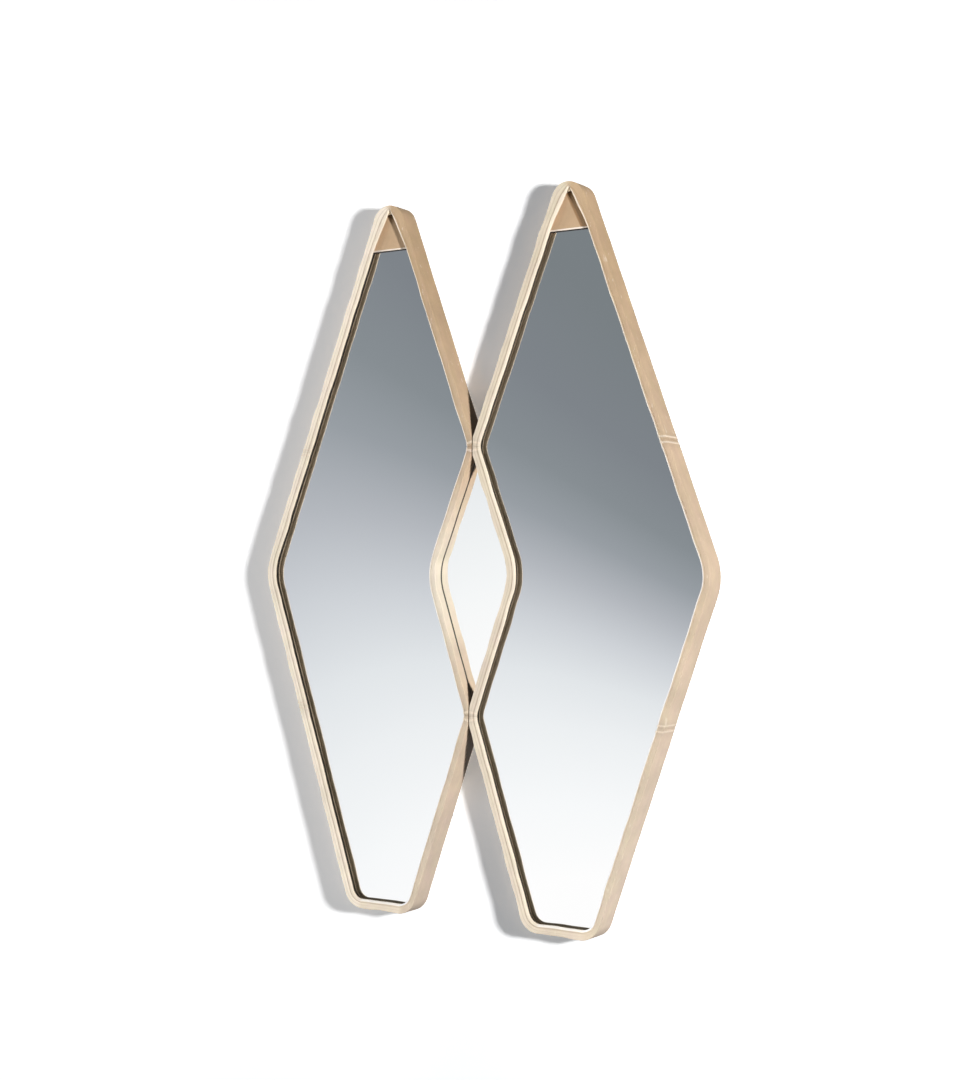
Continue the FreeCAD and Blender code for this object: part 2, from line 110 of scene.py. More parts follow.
# The room that the mirrors show: its colours by degrees above the level, and how they bend to each side
ROOM_STOPS = (
    (-11.0, (255, 255, 255)), (-8.0, (248, 250, 251)), (-5.0, (238, 241, 243)), (-3.0, (227, 231, 234)),
    (-1.0, (207, 211, 216)), (1.0, (181, 185, 191)), (3.0, (153, 159, 165)), (5.0, (136, 143, 148)),
    (8.0, (127, 133, 139)), (13.0, (122, 129, 133)),
)
ROOM_SPAN, ROOM_ASIDE = 15.0, 9.0
ROOM_FAN, ROOM_BOW, ROOM_SLANT = 0.064, 0.0366, 0.2616


def srgb(red, green, blue):
    """A display colour from 0 to 255 as the linear colour that the shaders use."""
    c = np.array([red, green, blue]) / 255.0
    return tuple(float(v) for v in np.where(c <= 0.04045, c / 12.92, ((c + 0.055) / 1.055) ** 2.4))


# Tones that belong to one place on a piece; several of them are painted light and shade
WHITE, BLACK = (1.0, 1.0, 1.0), (0.0, 0.0, 0.0)
# cream on the left fold: painted light reflected from the centre glass; the scuffs' tone is real wear
FOLD_REFLECTED_LIGHT, SCUFFED = srgb(246, 236, 217), srgb(238, 224, 206)
# painted shade: in the crease beside the lip, in the key's shadow near the contacts, and in the gap beside
# the centre glass
CREASE_SHADE_BROWN, CONTACT_SHADOW_BROWN, GLASS_GAP_SHADOW = srgb(146, 120, 92), srgb(52, 38, 26), srgb(58, 58, 56)
# painted highlight along the apex panel's lower edge, and painted shadow on its turned edge
PANEL_EDGE_HIGHLIGHT, PANEL_EDGE_SHADOW = srgb(255, 240, 224), srgb(36, 29, 24)
THREAD_DARK = srgb(214, 194, 168)
GLASS_RIM, GLASS_BACK = srgb(70, 84, 78), srgb(96, 98, 100)
# painted shade: dark on the core just in front of the glass, in the cavity under the lip
CAVITY_SHADE_STRIP = srgb(30, 25, 20)
GLARE_SHADED, GLARE_LEFT = (0.46, 0.48, 0.50), (0.67, 0.68, 0.69)


# Settings that a user would change

def length(name, text, millimetres):
    return FloatProperty(name=name, description=text, default=millimetres / MM, unit="LENGTH", precision=5)


def angle(name, text, degrees):
    return FloatProperty(name=name, description=text, default=math.radians(degrees), subtype="ANGLE")


def level(name, text, value):
    return FloatProperty(name=name, description=text, default=value, min=0.0)


def colour(name, text, rgb):
    return FloatVectorProperty(name=name, description=text, default=srgb(*rgb), subtype="COLOR", size=3,
                               min=0.0, max=1.0)


class MirrorHideSettings(bpy.types.PropertyGroup):
    """Sizes of the hide covers and their stitching."""
    step: length("Sample step", "Distance between the sections along the ribbon", 4.0)
    front_drop: length("Front drop", "How far the front falls back from the outer edge to the lip", 3.2)
    lip_width: length("Lip width", "Width of the rounded lip", 6.4)
    lip_drop: length("Lip drop", "Depth of the rounded lip", 5.6)
    groove: length("Groove", "Depth of the crease beside the lip", 0.5)
    waver: length("Waver", "How far the hand-wrapped edges wander", 0.85)
    row_space: length("Stitch rows", "Distance between the two rows of a seam", 11.8)
    stitch: length("Stitch", "Length of one stitch", 3.6)
    stitch_pitch: length("Stitch pitch", "Distance from one stitch to the next", 4.8)
    thread: length("Thread", "Thickness of the thread", 1.3)


class MirrorColourSettings(bpy.types.PropertyGroup):
    """Colours of the finishes."""
    outer: colour("Outer face", "Hide on the outer face at the top", (196, 167, 134))
    # painted light: the low colours make the hide lighter towards the bottom, where more light and sheen
    # reach it
    outer_low: colour("Outer face, low", "Hide on the outer face at the bottom", (226, 206, 185))
    front: colour("Front", "Hide on the sloped front at the top", (197, 168, 135))
    front_low: colour("Front, low", "Hide on the sloped front at the bottom", (217, 200, 178))
    # painted light: the pale colours make the left legs' fronts, which face the key, paler, and the left
    # frame's left legs paler still
    pale: colour("Pale front", "Paler hide on the left legs' front at the top", (219, 206, 184))
    pale_low: colour("Pale front, low", "Paler hide on the left legs' front at the bottom", (230, 216, 197))
    pale_far: colour("Pale front, far", "Paler hide on the left frame's left legs", (252, 240, 221))
    # the lip colours: partly the lip's paler hide, partly a painted highlight, white on the right legs low
    # down
    lip: colour("Lip", "Hide over the right legs' lip at the top", (251, 237, 218))
    lip_highlight_low: colour("Lip, low", "Hide over the right legs' lip at the bottom", (255, 255, 255))
    pale_lip: colour("Pale lip", "Hide over the left legs' lip", (236, 223, 203))
    # painted light: the hide under the lip is made lighter than the outer hide, for its shaded underside
    under: colour("Under the lip", "Hide turned under the lip", (202, 184, 158))
    panel: colour("Apex panel", "Hide on the apex panel", (195, 166, 134))
    thread: colour("Thread", "Stitching thread", (244, 228, 208))
    core: colour("Core", "Core wood", (196, 178, 152))
    board: colour("Board", "Plywood backing", (184, 152, 112))
    steel: colour("Steel", "Zinc plated steel", (176, 178, 180))
    rubber: colour("Rubber", "Wall bumpers", (40, 40, 41))
    tape: colour("Tape", "Mounting tape", (226, 224, 214))


class MirrorStageSettings(bpy.types.PropertyGroup):
    """Camera, lights and background."""
    lens_px: level("Focal length", "Focal length in pixels of the 960 by 1080 picture", 1688.0)
    turn: angle("Turn", "Camera turn off the wall's normal", CAMERA_TURN)
    tilt: angle("Tilt", "Camera tilt upwards", 1.19)
    roll: angle("Roll", "Camera roll", 0.70)
    place: FloatVectorProperty(name="Place", description="Camera position", default=(1.883, -2.912, -0.719),
                               subtype="TRANSLATION", unit="LENGTH")
    key: level("Key light", "Strength of the light from the right", 3.75)
    fill: level("Front fill", "Strength of the wide light from the left", 3.8)
    back: level("Back fill", "Strength of the light behind", 1.9)
    ambient: level("Ambient", "Level of the light from all round", 0.03)


# Lines and curves

def lengths(points):
    """Distance walked along a line of points."""
    return np.concatenate([[0.0], np.cumsum(np.linalg.norm(np.diff(points, axis=0), axis=1))])


def from_ends(walk):
    """Distance from the nearer end of such a line."""
    return np.minimum(walk, walk[-1] - walk)


def ramp(x, low, high):
    """Smooth step from 0 at low to 1 at high."""
    t = np.clip((x - low) / (high - low), 0.0, 1.0)
    return t * t * (3.0 - 2.0 * t)


def bump_at(x, centre, width):
    """A smooth bump of height 1: exp(-((x - centre) / width)^2)."""
    return np.exp(-((x - centre) / width) ** 2)


def bend(p, q, r, count):
    """Points on the curve (1-t)^2 p + 2t(1-t) q + t^2 r."""
    t = np.linspace(0.0, 1.0, count)[:, None]
    return (1.0 - t) ** 2 * np.array(p) + 2.0 * t * (1.0 - t) * np.array(q) + t ** 2 * np.array(r)


# Path of the lip, as straight runs and arcs

def corner_arcs():
    """For each corner: arc centre, radius, the outward normal's angles where the arc starts and ends,
    and the way it turns."""
    arcs = {}
    for i, (name, x, z, radius) in enumerate(CORNERS):
        p = np.array([x, z])
        a = np.array(CORNERS[i - 1][1:3])
        b = np.array(CORNERS[(i + 1) % len(CORNERS)][1:3])
        d1, d2 = (p - a) / np.linalg.norm(p - a), (b - p) / np.linalg.norm(b - p)
        turn = math.atan2(d1[0] * d2[1] - d1[1] * d2[0], d1 @ d2)
        start = p - d1 * radius * math.tan(abs(turn) / 2.0)
        first = math.atan2(d1[0], -d1[1])
        way = -1.0 if turn < 0.0 else 1.0
        centre = start + way * radius * np.array([math.cos(first), math.sin(first)])
        arcs[name] = (centre, radius, first, first + turn, way)
    return arcs


ARCS = corner_arcs()


def arc_points(name, angles):
    """Lip points and outward normals at normal angles of one corner: centre -/+ radius times the normal."""
    centre, radius, _, _, way = ARCS[name]
    normal = np.stack([np.cos(angles), np.sin(angles)], axis=1)
    return centre - way * radius * normal, normal


def arc_span(name, step, first=None, last=None):
    """An arc sampled about every step, with its lip points and normals."""
    _, radius, a0, a1, _ = ARCS[name]
    a0, a1 = (a0 if first is None else first), (a1 if last is None else last)
    count = max(7, int(math.ceil((radius + RIBBON_MID) * abs(a1 - a0) / step)) + 1)
    return arc_points(name, np.linspace(a0, a1, count))


def run_span(p, q, step, shear_p=0.0, shear_q=0.0):
    """A straight run from p to q: lip points, and a cross direction equal to the normal plus a share of the
    run's own direction. The share grows smoothly towards a sheared end, where it makes the cross direction
    level and where the sections lie closer together."""
    p, q = np.array(p), np.array(q)
    size = np.linalg.norm(q - p)
    along = (q - p) / size
    normal = np.array([-along[1], along[0]])
    slanted = abs(along[1]) > 1e-6
    level_share = -normal[1] / along[1] if slanted else 0.0
    fine = np.array([0.0, 0.4, 0.8, 1.3, 2.0, 3.0, 4.0, 4.7, 5.3, 5.9, 6.5, 7.1, 7.8, 9.0])
    even = np.linspace(0.0, size, int(math.ceil(size / step)) + 1)
    d = np.unique(np.concatenate([even, fine * bool(shear_p), size - fine * bool(shear_q)]))
    d = d[np.concatenate([[True], np.diff(d) > 0.25])]
    d[-1] = size
    share = shear_p * ramp(d, SHEAR_REACH, 0.0) + shear_q * ramp(size - d, SHEAR_REACH, 0.0)
    return p + d[:, None] * along, normal + (share * level_share)[:, None] * along


def seam_point(upper, offset):
    """Lip point of the outer leg at an outer seam's level plus an offset."""
    names = ("shoulder_out", "side") if upper else ("side", "bottom_out")
    (_, x0, z0, _), (_, x1, z1, _) = [c for c in CORNERS if c[0] in names]
    z = (CROSS_UP if upper else -CROSS_DOWN) + offset
    return np.array([x0 + (x1 - x0) * (z - z0) / (z1 - z0), z])


def join(spans):
    """Spans one after another, with the points that two of them share kept once."""
    parts = [spans[0]] + [(b[1:], m[1:]) for b, m in spans[1:]]
    return np.concatenate([b for b, _ in parts]), np.concatenate([m for _, m in parts])


def edge_of(name, end):
    """Lip point where a corner's arc starts (0) or ends (1)."""
    return arc_points(name, np.array([ARCS[name][2 + end]]))[0][0]


def between(name, other, step):
    """The straight run from the end of one corner's arc to the start of another's."""
    return run_span(edge_of(name, 1), edge_of(other, 0), step)


def cap_outside(share):
    """Points of the ribbon's outside from the inner shoulder up to the crown, by share of the length: up the
    leg's outer line, then round the cap's arc."""
    lean = ARCS["shoulder_in"][2]
    outwards = np.array([math.cos(lean), math.sin(lean)])
    start = edge_of("shoulder_in", 0) + RIBBON_T * outwards
    centre = np.array([HALF_PITCH, CAP_TOP - CAP_R])
    foot = centre + CAP_R * outwards
    leg = np.linalg.norm(foot - start)
    bow = CAP_R * (lean - math.pi / 2.0)
    d = share * (leg + bow)
    turned = lean - np.clip(d - leg, 0.0, None) / CAP_R
    on_leg = start + np.minimum(d / leg, 1.0)[:, None] * (foot - start)
    on_arc = centre + CAP_R * np.stack([np.cos(turned), np.sin(turned)], axis=1)
    return np.where((d < leg)[:, None], on_leg, on_arc)


def apex_span(step):
    """The lip from one shoulder over the apex to the other. The cross direction reaches from the lip to the
    ribbon's outside, matched by share of length, so the section narrows over the crown."""
    half = join([arc_span("shoulder_in", step), between("shoulder_in", "apex", 0.6 * step),
                 arc_span("apex", 0.6, last=math.pi / 2.0)])[0]
    walked = lengths(half)
    cross = (cap_outside(walked / walked[-1]) - half) / RIBBON_T
    flip = np.array([-1.0, 1.0])
    over = half[::-1][1:] * flip + np.array([2.0 * HALF_PITCH, 0.0])
    return np.concatenate([half, over]), np.concatenate([cross, cross[::-1][1:] * flip])


def cover_path(kind, step):
    """Lip points and cross directions of one cover, from seam to seam, clockwise seen from the front."""
    gap = SEAM_HALF / CONTACT_MID_R
    before, after = -math.pi + gap, -math.pi - gap
    if kind == "top":
        spans = [arc_span("contact_up", step, first=after),
                 between("contact_up", "shoulder_in", step),
                 apex_span(step),
                 run_span(edge_of("shoulder_out", 1), seam_point(True, SEAM_HALF), step, shear_q=1.0)]
    elif kind == "corner":
        spans = [run_span(seam_point(True, -SEAM_HALF), edge_of("side", 0), step, shear_p=1.0),
                 arc_span("side", step),
                 run_span(edge_of("side", 1), seam_point(False, SEAM_HALF), step, shear_q=1.0)]
    elif kind == "bottom":
        spans = [run_span(seam_point(False, -SEAM_HALF), edge_of("bottom_out", 0), step, shear_p=1.0),
                 arc_span("bottom_out", step),
                 between("bottom_out", "bottom_in", step),
                 arc_span("bottom_in", step),
                 between("bottom_in", "contact_down", step),
                 arc_span("contact_down", step, last=before)]
    else:
        spans = [arc_span("contact_down", step, first=after),
                 between("contact_down", "fold", step),
                 arc_span("fold", step),
                 between("fold", "contact_up", step),
                 arc_span("contact_up", step, last=before)]
    return join(spans)


# Section of the hide over the ribbon

def outer_section(s):
    """Visible side of the hide as (u, depth): back edge, outer face, rounded outer edge, crowned slope,
    crease, quarter ellipse of the lip and the turn under it."""
    drop, wide, deep, groove = MM * s.front_drop, MM * s.lip_width, MM * s.lip_drop, MM * s.groove
    fall, under = drop / (RIBBON_T - wide), drop + deep
    face = np.stack([np.full(FACE_POINTS, RIBBON_T), np.linspace(DEPTH, EDGE_BACK, FACE_POINTS)], axis=1)
    edge = bend((RIBBON_T, EDGE_BACK), (RIBBON_T, 0.0), (RIBBON_T - EDGE_IN, EDGE_IN * fall), 7)
    u = np.linspace(RIBBON_T - EDGE_IN, wide + 0.9, 9)
    t = (RIBBON_T - u) / (RIBBON_T - wide)
    slope = np.stack([u, drop * t - SLOPE_CROWN * np.sin(math.pi * t)], axis=1)
    crease = np.array([[wide + 0.45, drop + 0.35 * groove],
                       [wide + 0.1, drop + groove],
                       [wide - 0.3, drop + 0.55 * groove]])
    a = np.radians(np.linspace(7.0, 90.0, 13))
    lip = np.stack([wide * (1.0 - np.sin(a)), drop + (deep - 0.7) * (1.0 - np.cos(a))], axis=1)
    turned = bend((0.0, under - 0.6), (0.0, under), (0.9, under), 4)
    tucked = np.array([[3.5, under], [TURN_UNDER, under]])
    return np.concatenate([face, edge[1:], slope[1:], crease, lip, turned, tucked])


def inner_section(s):
    """Hidden side of the hide from the turned-under edge back to the ribbon's back edge."""
    drop, under = MM * s.front_drop, MM * (s.front_drop + s.lip_drop)
    inside = RIBBON_T - HIDE_T
    return np.array([[TURN_UNDER, under - 1.4], [2.5, under - 1.5], [3.0, drop + 3.4], [4.6, drop + 2.2],
                     [7.2, drop + 1.7], [12.0, drop + 0.3], [inside - 0.6, 2.3],
                     [inside, 3.2], [inside, DEPTH]])


def waver(walk, seed, lowest):
    """A slow wander between about -1 and 1: a sum of sines with pitches and phases drawn from the seed."""
    rng = np.random.default_rng(seed)
    order = np.arange(5)
    k = 2.0 * math.pi / MM * (lowest + order * rng.uniform(1.9, 4.1, len(order)))
    phase = rng.uniform(0.0, 2.0 * math.pi, len(order))
    return (np.sin(walk[:, None] * k + phase) / (1.0 + 0.45 * order)).sum(axis=1) / 1.7


def wander(section, walk, ends, seed, s):
    """How far a cover strays sideways and in depth: a wave each for the lip, the outer edge and the outer
    face sideways, and for the lip and the outer edge in depth. They rest at the seams."""
    u, depth = section.T
    on_lip = 1.0 - ramp(u, 5.0, 9.0)
    on_edge = ramp(u, 14.0, 18.0) * (1.0 - ramp(depth, 4.0, 22.0))
    on_face = ramp(depth, 3.0, 14.0) * (u > FACE_U)
    waves = [waver(walk, seed + i, lowest)[:, None] for i, lowest in enumerate((5.0, 9.0, 0.9, 0.9, 0.9))]
    size = MM * s.waver * ramp(ends, 0.0, WANDER_REST)[:, None]
    sideways = size * (waves[0] * on_lip * 0.7 + waves[1] * on_edge + waves[2] * on_face * 0.5)
    deeper = size * (waves[3] * on_lip * 0.8 + waves[4] * on_edge * 0.6)
    return sideways, deeper


# Meshes

def placed(points, side):
    """Drawing points (X, depth, Z) in millimetres, as metres in the part's frame, mirrored on the left."""
    flat = (points.reshape(-1, 3) - np.array([0.0, DEPTH, ORIGIN_Z])) / MM
    return flat * np.array([-1.0 if side == "left" else 1.0, 1.0, 1.0])


def volume(points, quads):
    """Signed volume of a closed mesh, by summing p0.(p1 x p2) over its triangles."""
    a, b, c, d = (points[quads[:, k]] for k in range(4))
    return (np.einsum("ij,ij->i", a, np.cross(b, c)) + np.einsum("ij,ij->i", a, np.cross(c, d))).sum()


def ring_quads(rows, columns):
    """Quads of a grid whose columns close into a ring."""
    r, c = np.meshgrid(np.arange(rows - 1), np.arange(columns), indexing="ij")
    this, after, n = r * columns, (r + 1) * columns, (c + 1) % columns
    return np.stack([this + c, this + n, after + n, after + c], axis=-1).reshape(-1, 4)


def end_caps(rows, columns):
    """The first and the last ring of such a grid as two faces."""
    return [list(range(columns))[::-1], list(range((rows - 1) * columns, rows * columns))]


def new_piece(name, points, quads, caps, finish, marks=None, uv=None):
    """A mesh object from whole arrays, the right way out, with its attributes, finish, slot and body."""
    if volume(points, quads) < 0.0:
        quads, caps = quads[:, ::-1], [list(reversed(c)) for c in caps]
    mesh = bpy.data.meshes.new(name)
    mesh.from_pydata(points.tolist(), [], quads.tolist() + [list(map(int, c)) for c in caps])
    mesh.polygons.foreach_set("use_smooth", np.full(len(mesh.polygons), True))
    for label, values in (marks or {}).items():
        flat = np.ascontiguousarray(values, dtype=np.float32).ravel()
        mesh.attributes.new(label, "FLOAT", "POINT").data.foreach_set("value", flat)
    if uv is not None:
        corners = np.zeros(len(mesh.loops), dtype=np.int32)
        mesh.loops.foreach_get("vertex_index", corners)
        mesh.uv_layers.new(name="run").data.foreach_set("uv", uv[corners].astype(np.float32).ravel())
    mesh.update()
    mesh.validate()
    mesh.materials.append(finish)
    piece = bpy.data.objects.new(name, mesh)
    bpy.context.scene.collection.objects.link(piece)
    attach(piece, BODY)
    return piece


def cover_marks(side, kind, section, shown, cross, x, walk, s):
    """Where the hide changes its tone, from 0 to 1 at each point, and the distance from the nearest seam."""
    u, depth = section.T
    ends = from_ends(walk)
    # pale: 1 on the left legs, whose fronts get painted light
    pale = ramp(cross[:, 0] * (1.0 if side == "left" else -1.0), -0.35, 0.35)[:, None]
    front = ramp(-depth, -2.6, -0.3) * (u > 7.0) + (u < FACE_U) * shown
    marks = {
        "front": np.clip(front, 0.0, 1.0),
        # where the other frame's shadow is painted on the outer face near a contact
        "nook": (1.0 - ramp(x, 36.0, 56.0)) * ramp(depth - 1.1 * x, 0.5, 3.5) * (u > 12.0),
        # lip: where the lip's colour goes, partly a painted highlight, wider on the left legs
        "lip": (1.0 - ramp(u - 1.8 * pale, 2.9, 4.1)) * shown,
        # under: the hide turned under the lip, which gets painted light
        "under": ramp(depth, 6.2, 7.8) * (u < 10.0),
        # crease: where shade is painted in the crease beside the lip and along a second line further out
        "crease": (bump_at(u, MM * s.lip_width, 0.9) + 0.4 * bump_at(u, 12.2, 0.7)) * shown,
        # edge: where a painted highlight runs along the outer edge
        "edge": bump_at(u, 18.1, 0.5) * bump_at(depth, 0.4, 1.1),
        # fold: 0 at the fold's seams, 1 in its middle, where painted reflected light goes
        "fold": (ramp(ends, 4.0, 0.5 * walk[-1]) * (kind == "fold"))[:, None],
        "pale": pale,
        # far: the left frame, whose outer faces get painted shade and whose left legs' fronts get paler
        # painted light
        "far": float(side == "left"),
        "seam": np.minimum(ends, 40.0)[:, None],
    }
    return {name: np.broadcast_to(values, x.shape) for name, values in marks.items()}


def hide_cover(side, kind, s, finish):
    """One hide cover: the closed section carried along the lip, point = lip + (u + wander) * cross, depth =
    section depth + wander, held off the contact land, rolled over at both seams and raised under the rows
    of stitching."""
    base, cross = cover_path(kind, MM * s.step)
    outer = outer_section(s)
    section = np.concatenate([outer, inner_section(s)])
    shown = np.arange(len(section)) < len(outer)
    walk = lengths(base)
    ends = from_ends(walk)
    sideways, deeper = wander(section, walk, ends, sum(map(ord, kind + side)), s)
    rolled = SEAM_ROLL * np.exp(-ends / SEAM_ROLL_REACH)
    raised = RIDGE * bump_at(ends, 0.5 * MM * s.row_space, RIDGE_HALF)
    inwards = (rolled - raised)[:, None] * shown
    u = section[:, 0] + sideways + inwards * np.where(section[:, 0] > EDGE_U, -1.0, 0.25)
    depth = section[:, 1] + deeper + inwards * np.where(section[:, 0] < FACE_U, 0.8, 0.0)
    x = base[:, 0, None] + u * cross[:, 0, None]
    z = base[:, 1, None] + u * cross[:, 1, None]
    notch = NOTCH * np.clip(1.0 - section[:, 1] / NOTCH_DEEP, 0.0, 1.0) ** 2
    x = np.maximum(x, LAND + np.where(shown, notch, HIDE_T))
    points = np.stack([x, np.clip(depth, None, DEPTH), z], axis=-1)
    rows, columns = x.shape
    uv = np.stack([np.repeat(walk, columns), np.tile(lengths(section), rows)], axis=1) / MM
    marks = cover_marks(side, kind, section, shown, cross, x, walk, s)
    piece = new_piece(f"cover_{kind}_{side}", placed(points, side), ring_quads(rows, columns),
                      end_caps(rows, columns), finish, marks, uv)
    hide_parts(f"{side}_hide_{kind}")


def panel_cover(side, finish):
    """Hide on one apex panel: a closed section in height and depth, wrapped round the lower edge, carried
    across the panel with X = half width at that height times v, and crowned between the lips. Its marks are
    the height over the lower edge and the distances from the lips on the left and right of the picture."""
    heights = np.linspace(PANEL_TOP, PANEL_EDGE + PANEL_BEND, 24)
    front = np.stack([heights, np.full(len(heights), PANEL_FACE)], axis=1)
    edge = bend((PANEL_EDGE + PANEL_BEND, PANEL_FACE), (PANEL_EDGE, PANEL_FACE),
                (PANEL_EDGE, PANEL_FACE + PANEL_BEND_BACK), 7)
    inside, behind = PANEL_EDGE + PANEL_SKIN, PANEL_FACE + PANEL_SKIN
    rest = np.array([[PANEL_EDGE, PANEL_BACK], [inside, PANEL_BACK], [inside, behind], [PANEL_TOP, behind]])
    section = np.concatenate([front, edge[1:], rest])
    z, depth = section.T
    shown = np.arange(len(section)) < len(section) - len(rest)
    v = np.linspace(-1.0, 1.0, 41)[:, None]
    lean = PANEL_HALF / (APEX_IN - PANEL_EDGE)
    lip = lean * (APEX_IN - z)
    half = lip + TURN_UNDER * math.hypot(1.0, lean)
    rise = np.sin(np.clip((z - PANEL_EDGE) / PANEL_CROWN_REACH, 0.0, 1.0) * math.pi / 2.0)
    crown = PANEL_CROWN * (1.0 - v ** 4) * shown * rise
    sag = PANEL_SAG * np.cos(v * 2.2 + 0.4) * (z < PANEL_EDGE + 2.0)
    points = np.stack([HALF_PITCH + v * half, depth - crown, z + sag], axis=-1)
    rows, columns = points.shape[:2]
    aside = v * half * (-1.0 if side == "left" else 1.0)
    height = np.broadcast_to(np.clip(z - PANEL_EDGE, 0.0, 20.0), aside.shape)
    marks = {"height": height, "from_left": lip + aside, "from_right": lip - aside}
    piece = new_piece(f"panel_cover_{side}", placed(points, side), ring_quads(rows, columns),
                      end_caps(rows, columns), finish, marks)
    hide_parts(f"{side}_apex_hide")


def seam_rows(s):
    """Place, cross direction and run direction of each stitch row, and whether it covers the outer face."""
    half = 0.5 * MM * s.row_space
    ahead = 10.0
    rows = []
    for upper in (True, False):
        for offset in (half, -half):
            b = seam_point(upper, offset)
            t = seam_point(upper, offset - ahead) - b
            t = t / np.linalg.norm(t)
            n = np.array([-t[1], t[0]])
            rows.append((b, n - t * n[1] / t[1], t, True))
        name = "contact_up" if upper else "contact_down"
        for turn in (half, -half):
            b, n = arc_points(name, np.array([math.pi + turn / CONTACT_MID_R]))
            rows.append((b[0], n[0], np.array([n[0, 1], -n[0, 0]]), False))
    return rows


def stitching(side, s, finish):
    """All stitches of one frame: short tapered threads, ring = centre line + radius(t) (cos a * surface
    normal + sin a * run direction), whose ends dip into the hide."""
    section = outer_section(s)
    walk = lengths(section)
    on_front = section[:, 1] < 7.0
    crest = float(walk[np.argmin(np.where(on_front, np.abs(section[:, 0] - 1.0), np.inf))])
    size, pitch, radius = MM * s.stitch, MM * s.stitch_pitch, 0.5 * MM * s.thread
    t = np.linspace(0.0, 1.0, 6)
    a = np.linspace(0.0, 2.0 * math.pi, 7)[:-1]
    taper = (2.0 * t - 1.0) ** 4
    swell = np.sqrt(np.clip(1.0 - taper, 0.03, 1.0))
    rise = 0.30 - 0.75 * taper
    blocks = []
    for b, m, run, whole in seam_rows(s):
        begin = 1.8 if whole else float(walk[FACE_POINTS - 1]) + 5.0
        starts = np.arange(begin, crest - size, pitch)
        w = starts[:, None] + size * t
        u, d = (np.interp(w, walk, line) for line in section.T)
        du, dd = (np.interp(w + 0.3, walk, line) - np.interp(w - 0.3, walk, line) for line in section.T)
        norm = np.hypot(du, dd)
        nu, nd = -dd / norm, du / norm
        reach = u + rise * nu
        centre = np.stack([b[0] + reach * m[0], d + rise * nd, b[1] + reach * m[1]], axis=-1)
        out = np.stack([nu * m[0], nd, nu * m[1]], axis=-1)
        across = np.array([run[0], 0.0, run[1]])
        ring = out[:, :, None, :] * np.cos(a)[:, None] + across * np.sin(a)[:, None]
        rings = centre[:, :, None, :] + radius * swell[:, None, None] * ring
        blocks.append(rings.reshape(len(starts), -1, 3))
    points = np.concatenate(blocks)
    count, per = points.shape[:2]
    first = np.arange(count)[:, None] * per
    quads = (first[:, :, None] + ring_quads(len(t), len(a))).reshape(-1, 4)
    low = np.arange(len(a))[::-1]
    caps = np.concatenate([first + low, first + per - 1 - low]).tolist()
    new_piece(f"stitching_{side}", placed(points, side), quads, caps, finish)


# Finishes

class Wire:
    """A node's output that can stand in sums and products. Each operation adds one Math node."""

    def __init__(self, finish, socket):
        self.finish, self.socket = finish, socket

    def __add__(self, other):
        return self.finish.maths("ADD", self, other)

    def __sub__(self, other):
        return self.finish.maths("SUBTRACT", self, other)

    def __rsub__(self, other):
        return self.finish.maths("SUBTRACT", other, self)

    def __mul__(self, other):
        return self.finish.maths("MULTIPLY", self, other)

    __radd__ = __add__

    def step(self, low, high):
        """0 below low and 1 above high, smooth between."""
        return self.finish.node("ShaderNodeMapRange", {"interpolation_type": "SMOOTHSTEP"},
                                {"Value": self, "From Min": low, "From Max": high})


